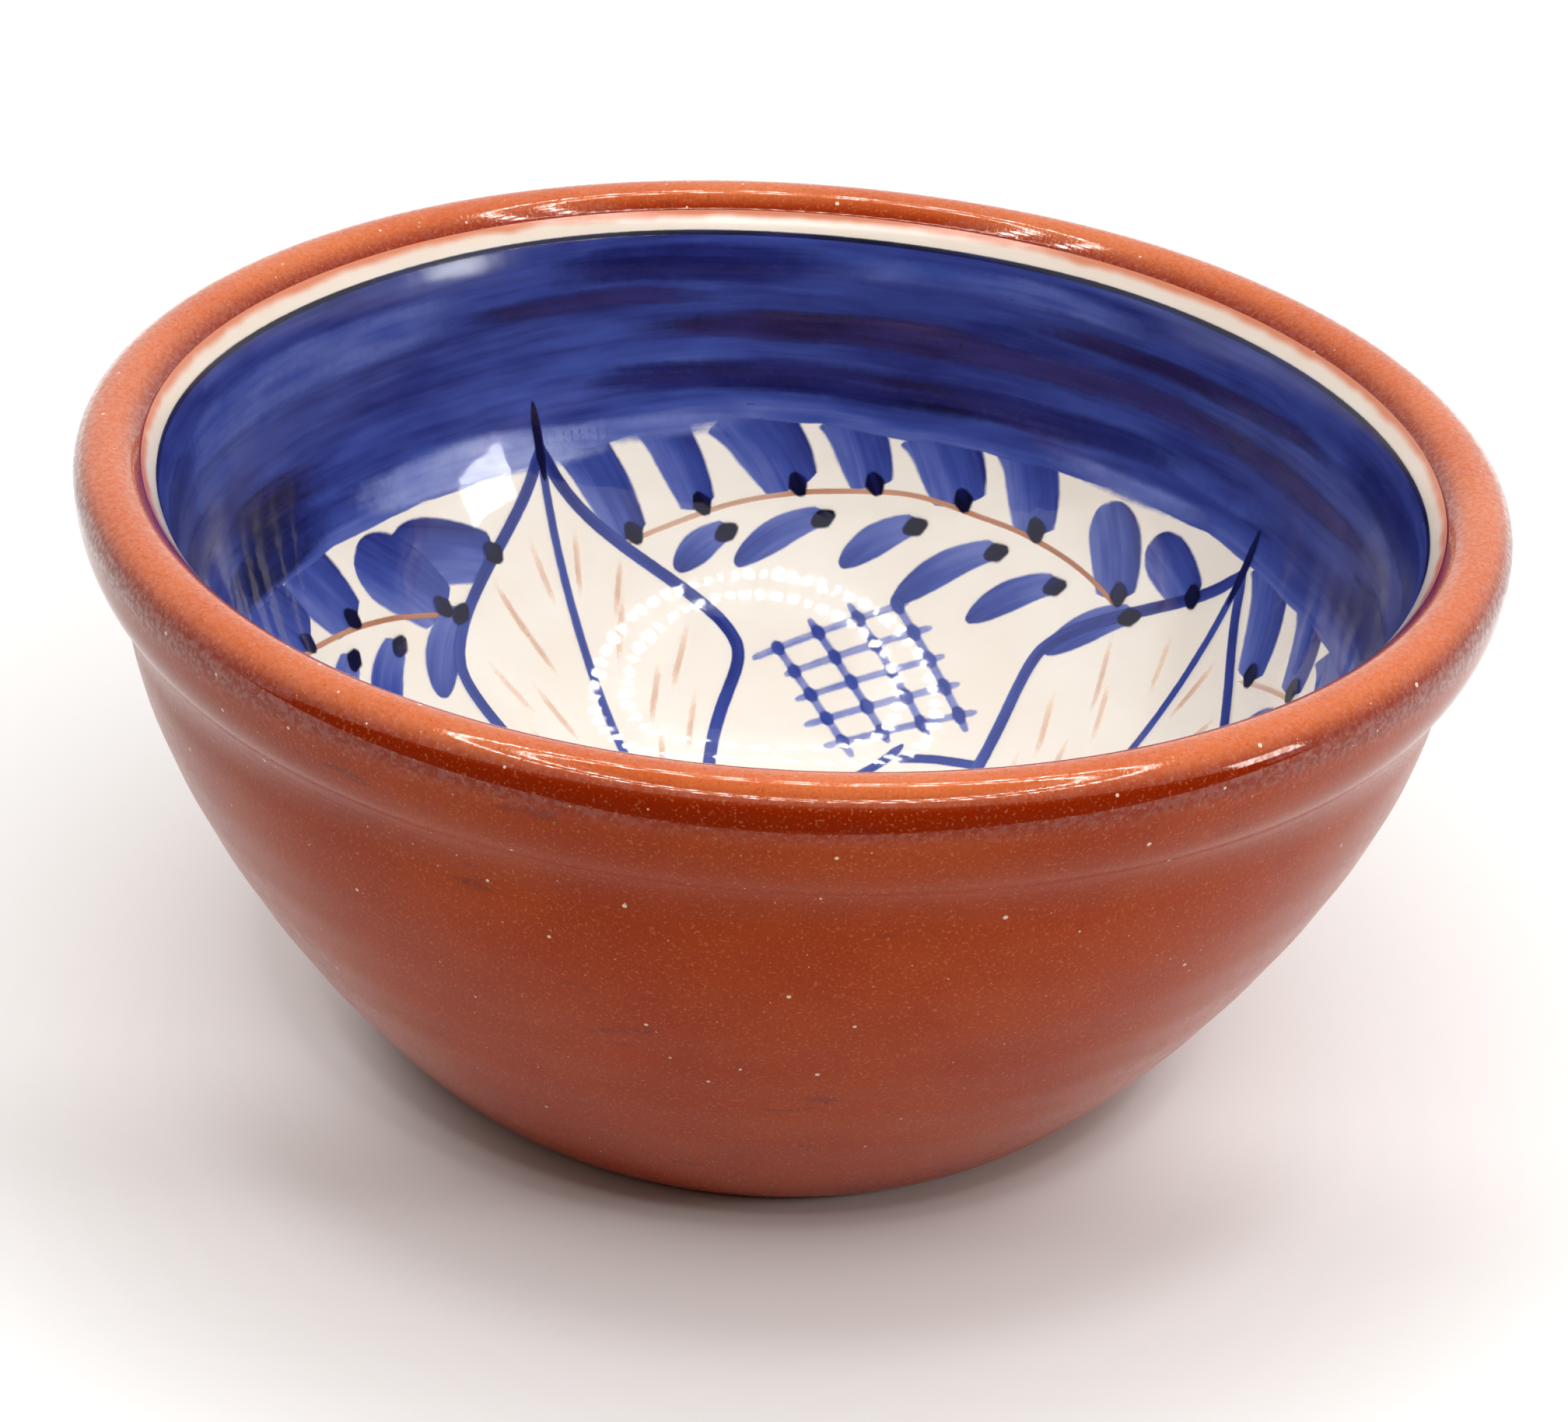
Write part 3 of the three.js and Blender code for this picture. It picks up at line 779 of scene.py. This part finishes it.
def leaf_swell(half, base, tip_from, flare=0.0):
    """A leaf's half width: narrow at its dot, fullest past the middle, round at its tip.
    A leaf that runs into the border flares there."""
    def at(share):
        body = base + (1 - base) * math.sin(min(1.0, share / 0.6) * math.pi / 2)
        tip = math.sqrt(max(0.0, 1 - max(0.0, (share - tip_from) / (1 - tip_from)) ** 2))
        start = min(1.0, math.sqrt(share / 0.08) + 0.02)
        spread = 1 + flare * max(0.0, (share - 0.5) / 0.5) ** 3
        return half * body * spread * max(tip, 0.02) * start
    return at


def stem_load(share, side):
    return 0.74 - 0.4 * share


def outer_load(share, side):
    return 0.46 + 0.1 * share - 0.16 * side


def inner_load(share, side):
    return 0.3 + 0.3 * share


ferns = zip(fern_turns, fern_shifts, fern_hangs, leaf_fullness, outer_leans)
for number, (turn, shift, hang, full, slant) in enumerate(ferns, 1):
    middle = turn + shift

    def stem_drop(away):
        return stem_top + hang + stem_sag * (away / stem_reach) ** 2

    def jitter(seed):
        return noise.noise(Vector((seed * 1.7, number * 5.3, 0.5)))

    stem_route = []
    for away in range(-32, 37):
        wander = 0.3 * drift(middle + away, 9, 2.0)
        stem_route.append((middle + away, stem_drop(away) + wander))
    marks = [brush_mark(stem_route, tapered(stem_half, 0.05), stem_load, 2, brown=1.0, rows=4)]
    for index, (away, lean, half, rise, run_in) in enumerate(outer_leaves):
        away += 0.8 * jitter(index)
        lean *= slant
        root = stem_drop(away) - rise
        top = band_edge((middle + away + lean) % 360) - run_in
        tip_from, flare = (0.95, 0.22) if run_in > 0 else (0.6, 0.0)
        route = pulled(
            (middle + away, root),
            (middle + away + 0.3 * lean, root - 0.4 * (root - top)),
            (middle + away + 0.62 * lean, root - 0.68 * (root - top)),
            (middle + away + lean, top),
            24,
        )
        leaf = leaf_swell(half * full, 0.72, tip_from, flare)
        leaf_layer = 0.4 + 0.4 * (index % 2)
        marks.append(brush_mark(route, leaf, outer_load, leaf_layer, soft=0.6))
        dot_turn = middle + away - 0.9
        dot = pulled(
            (dot_turn, root + 0.8),
            (dot_turn + 0.4, root - 0.2),
            (dot_turn + 0.9, root - 1.2),
            (dot_turn + 1.6, root + 0.7 - dot_length),
            12,
        )
        marks.append(brush_mark(dot, tapered(dot_half, 0.5), even(dot_load, -0.1), 5, soft=0.5))
    for index, (away, lean, fall, gap) in enumerate(inner_leaves):
        away += 0.8 * jitter(index + 40)
        root = stem_drop(away) + gap
        route = pulled(
            (middle + away, root),
            (middle + away + 0.3 * lean, root + 0.1 * fall),
            (middle + away + 0.72 * lean, root + 0.55 * fall),
            (middle + away + lean, root + fall),
            24,
        )
        leaf = leaf_swell(inner_half * full, 0.62, 0.45)
        marks.append(brush_mark(route, leaf, inner_load, 2.6, soft=0.45))
        dot = pulled(
            (middle + away - 1.3, root - 0.5),
            (middle + away - 0.5, root),
            (middle + away + 0.7, root + 0.5),
            (middle + away + 1.9, root + 1.4),
            12,
        )
        marks.append(brush_mark(dot, tapered(dot_half, 0.5), even(dot_load, -0.1), 5, soft=0.5))
    painted(f"painted_fern_{number}", marks, f"fern_{number}")


# Lattices: crossed lines of a thin wash on the clear ground under each fern, drawn one way and then the
# other. The wash doubles where two lines cross, and the pigment gathers there in a dark knot.
lattice_turn = 0.5
lattice_drop = 51.2
steep_step = Vector((-2.5, 2.6))
shallow_step = Vector((-4.05, -2.2))
steep_lines = 4
shallow_lines = 5
lattice_half = 0.7
lattice_overrun = 0.55
knot_half = 1.0
knot_reach = 0.36
shallow_load = 0.26
steep_load = 0.3
knot_load = 0.54
lattice_soft = 0.5

for number, (turn, hang) in enumerate(zip(fern_turns, fern_hangs), 1):
    middle = turn + lattice_turn
    marks = []

    def knot(shallow, steep):
        """The place where a shallow line crosses a steep one, counted from the lattice's first corner."""
        along = steep_step * (shallow - (shallow_lines - 1) / 2)
        aside = shallow_step * (steep - (steep_lines - 1) / 2)
        return Vector((0, lattice_drop + max(0.0, 0.5 * hang))) + along + aside

    def ragged(line, lean):
        seed = Vector((line * 3.3, lean * 2.1, number * 4.7))
        return lattice_overrun + 0.4 * noise.noise(seed)

    def drawn(start, end, steps):
        line = pulled(start, start.lerp(end, 0.33), start.lerp(end, 0.67), end, steps)
        return on_bowl(middle, line)

    for line in range(shallow_lines):
        start = knot(line, -ragged(line, 1))
        end = knot(line, steep_lines - 1 + ragged(line, 2))
        marks.append(brush_mark(
            drawn(start, end, 20), tapered(lattice_half, 0.06), even(shallow_load), 2,
            rows=4, soft=lattice_soft, thin=0.7,
        ))
    for line in range(steep_lines):
        start = knot(-ragged(line, 3), line)
        end = knot(shallow_lines - 1 + ragged(line, 4), line)
        marks.append(brush_mark(
            drawn(start, end, 20), tapered(lattice_half, 0.06), even(steep_load), 3,
            rows=4, soft=lattice_soft, thin=0.74,
        ))
        for crossing in range(shallow_lines):
            start = knot(crossing - knot_reach, line)
            end = knot(crossing + knot_reach, line)
            marks.append(brush_mark(
                drawn(start, end, 8), tapered(knot_half, 0.4), even(knot_load), 3.6,
                rows=4, soft=lattice_soft, thin=0.95,
            ))
    painted(f"painted_lattice_{number}", marks, f"lattice_{number}")


# Scallops: two strokes of the pointed brush under each lattice, from the side of one petal to the next.
# They cross in a small tick, and close the ground of the lattice towards the middle of the floor.
scallop_half = 0.72
short_end = (-8.4, 60.4)
long_start = (-8.6, 58.2)
short_root = 57.8
long_root = 66.5
scallop_load = 0.56


def outline_turn(petal, side, drop):
    """Where a petal's side line stands at a drop below its shoulder."""
    return min(petal_outlines[petal, side], key=lambda place: abs(place[1] - drop))[0]


for number, turn in enumerate(fern_turns, 1):
    next_petal = number % 4 + 1
    short_from = outline_turn(number, 1, short_root) - turn
    long_to = (outline_turn(next_petal, -1, long_root) - turn) % 360
    strokes = (
        ((short_from, short_root), (short_from + 5, 58.6), (-14, 59.0), short_end),
        (long_start, (-5, 64.5), (8, 71.0), (long_to, long_root)),
    )
    marks = []
    for corners in strokes:
        route = [(turn + away, drop) for away, drop in pulled(*corners, 40)]
        marks.append(brush_mark(route, tapered(scallop_half, 0.06), even(scallop_load, 0.1), 3.5, rows=4))
    painted(f"painted_scallop_{number}", marks, f"scallop_{number}")


# Centre dot: one round dab of the loaded brush in the middle of the floor, where the four petals meet.
# The pigment is thick there, and darkest in its middle.
dot_radius = 5
dab = [(360 * step / 48, lining_length / mm - dot_radius / 2) for step in range(49)]
floor_dot = brush_mark(
    dab, lambda share: dot_radius / 2 - 0.01, lambda share, side: 0.85 + 0.1 * side, 5, closed=True, rows=8
)
painted("floor_dot", [floor_dot], "centre_dot")


# Table and light: a white box with an open, dark front, as small things are photographed in. Two rings of
# small lamps hang overhead round a dark opening, and the white table ends a little way in front of the
# bowl.
table_size = 8
table_end = -0.16
back_depth = (-0.042, -0.014)
foot_shadow = (0.036, 0.046)
rim_shadow = (0.055, 0.067)
front_fade = (0.066, 0.12)
far_fade = (0.1, 0.6)
back_glow = 0.27
rim_glow = 0.12
front_glow = 0.19
far_glow = 0.7
black = (0, 0, 0, 1)
white = (1, 1, 1, 1)

bpy.ops.object.select_all(action="DESELECT")
bpy.ops.mesh.primitive_plane_add(size=table_size)
table = bpy.context.object
table.name = "table"
paper = Finish("white_paper")
place = paper.place()
from_middle = paper.node("ShaderNodeVectorMath", {"operation": "LENGTH"}, {0: place}, "Value")
table_depth = paper.node("ShaderNodeSeparateXYZ", {}, {0: place}, "Y")
camera_ray = paper.node("ShaderNodeLightPath", {}, {}, "Is Camera Ray")
glossy_ray = paper.node("ShaderNodeLightPath", {}, {}, "Is Glossy Ray")
transmission_ray = paper.node("ShaderNodeLightPath", {}, {}, "Is Transmission Ray")
seen_white = camera_ray + glossy_ray + transmission_ray
# The table's glow is painted light shaped round the bowl. It is held back near the foot and out to the rim's
# reach, which leaves a painted shadow with a painted edge. It is stronger behind the bowl than in front, a
# painted pool of light. Far off it only whitens the table.
painted_bright_back = paper.between(table_depth, *back_depth)
painted_back_light = painted_bright_back * paper.between(from_middle, *foot_shadow) * back_glow
painted_shadow_edge = paper.between(from_middle, *rim_shadow) * rim_glow
painted_front_light = (1 - painted_bright_back) * (painted_shadow_edge + paper.between(from_middle, *front_fade) * front_glow)
far_light = paper.between(from_middle, *far_fade) * far_glow
white_share = painted_back_light + painted_front_light + far_light
paper.plug(paper.shader, {
    "Base Color": srgb(235, 237, 237),
    "Roughness": 0.9,
    "Emission Color": paper.mixed(seen_white * white_share, black, white),
    "Emission Strength": 1.0,
})
table.data.materials.append(paper.material)

dark = Finish("dark_room")
dark.plug(dark.shader, {"Base Color": srgb(26, 24, 24), "Roughness": 1.0})


def dark_card(name, place, turn, width, depth):
    """A dark card that the glaze mirrors and the camera looks through."""
    bpy.ops.mesh.primitive_plane_add(size=1, location=place, rotation=turn)
    card = bpy.context.object
    card.name = name
    card.scale = (width, depth, 1)
    card.visible_camera = False
    card.data.materials.append(dark.material)
    return card


lamp_middle = Vector((0.03, -0.125, 0.5))
opening_place = lamp_middle + Vector((0, 0, 0.02))
opening_size = 0.32
front_width = 6.0
front_height = 0.62
front_depth = 0.8
upright = (math.radians(90), 0, 0)
flat = (0, 0, 0)
dark_card("open_front", (0, -0.8, front_height / 2), upright, front_width, front_height)
floor_place = (0, table_end - front_depth / 2, 0.0005)
front_floor = dark_card("front_floor", floor_place, flat, front_width, front_depth)
front_floor.visible_shadow = False
front_floor.visible_diffuse = False
dark_card("lamp_opening", opening_place, flat, opening_size, opening_size)

warm_fill = (0.3, 0.265, 0.23, 1)
world = bpy.context.scene.world or bpy.data.worlds.new("white_room")
bpy.context.scene.world = world
world.use_nodes = True
nodes = world.node_tree.nodes
links = world.node_tree.links
rays = nodes.new("ShaderNodeLightPath")
mirrored = nodes.new("ShaderNodeMath")
mirrored.operation = "MAXIMUM"
links.new(rays.outputs["Is Glossy Ray"], mirrored.inputs[0])
links.new(rays.outputs["Is Transmission Ray"], mirrored.inputs[1])
seen = nodes.new("ShaderNodeMath")
seen.operation = "MAXIMUM"
links.new(rays.outputs["Is Camera Ray"], seen.inputs[0])
links.new(mirrored.outputs[0], seen.inputs[1])
room = nodes.new("ShaderNodeMix")
room.data_type = "RGBA"
room.inputs[6].default_value = warm_fill
room.inputs[7].default_value = white
links.new(seen.outputs[0], room.inputs[0])
links.new(room.outputs[2], nodes["Background"].inputs["Color"])

lamp_size = 0.0155
lamp_power = 0.033
lamp_rings = [
    # radius of the ring, lamps in it
    (0.275, 54),
    (0.215, 42),
]
for ring_radius, ring_lamps in lamp_rings:
    for index in range(ring_lamps):
        angle = math.tau * index / ring_lamps
        spot = lamp_middle + ring_radius * Vector((math.cos(angle), math.sin(angle), 0))
        bpy.ops.object.light_add(type="AREA", location=spot)
        lamp = bpy.context.object
        lamp.rotation_mode = "QUATERNION"
        lamp.rotation_quaternion = (-spot).to_track_quat("-Z", "Y")
        lamp.data.size = lamp_size
        lamp.data.energy = lamp_power
        lamp.visible_camera = False

panel_place = Vector((0.46, -0.142, 0.19))
panel_size = 0.1
panel_power = 0.42
bpy.ops.object.light_add(type="AREA", location=panel_place)
panel = bpy.context.object
panel.rotation_mode = "QUATERNION"
panel.rotation_quaternion = (-panel_place).to_track_quat("-Z", "Y")
panel.data.size = panel_size
panel.data.energy = panel_power
panel.visible_camera = False

camera_place = (0.0005, -0.37985, 0.24157)
camera_lens = 98.2
camera_dip = 0.4994
camera_roll = 0.0669
bpy.ops.object.camera_add(location=camera_place)
camera = bpy.context.object
camera.data.sensor_width = 36
camera.data.lens = camera_lens
camera.rotation_mode = "ZXY"
camera.rotation_euler = (math.pi / 2 - camera_dip, 0, camera_roll)
bpy.context.scene.camera = camera
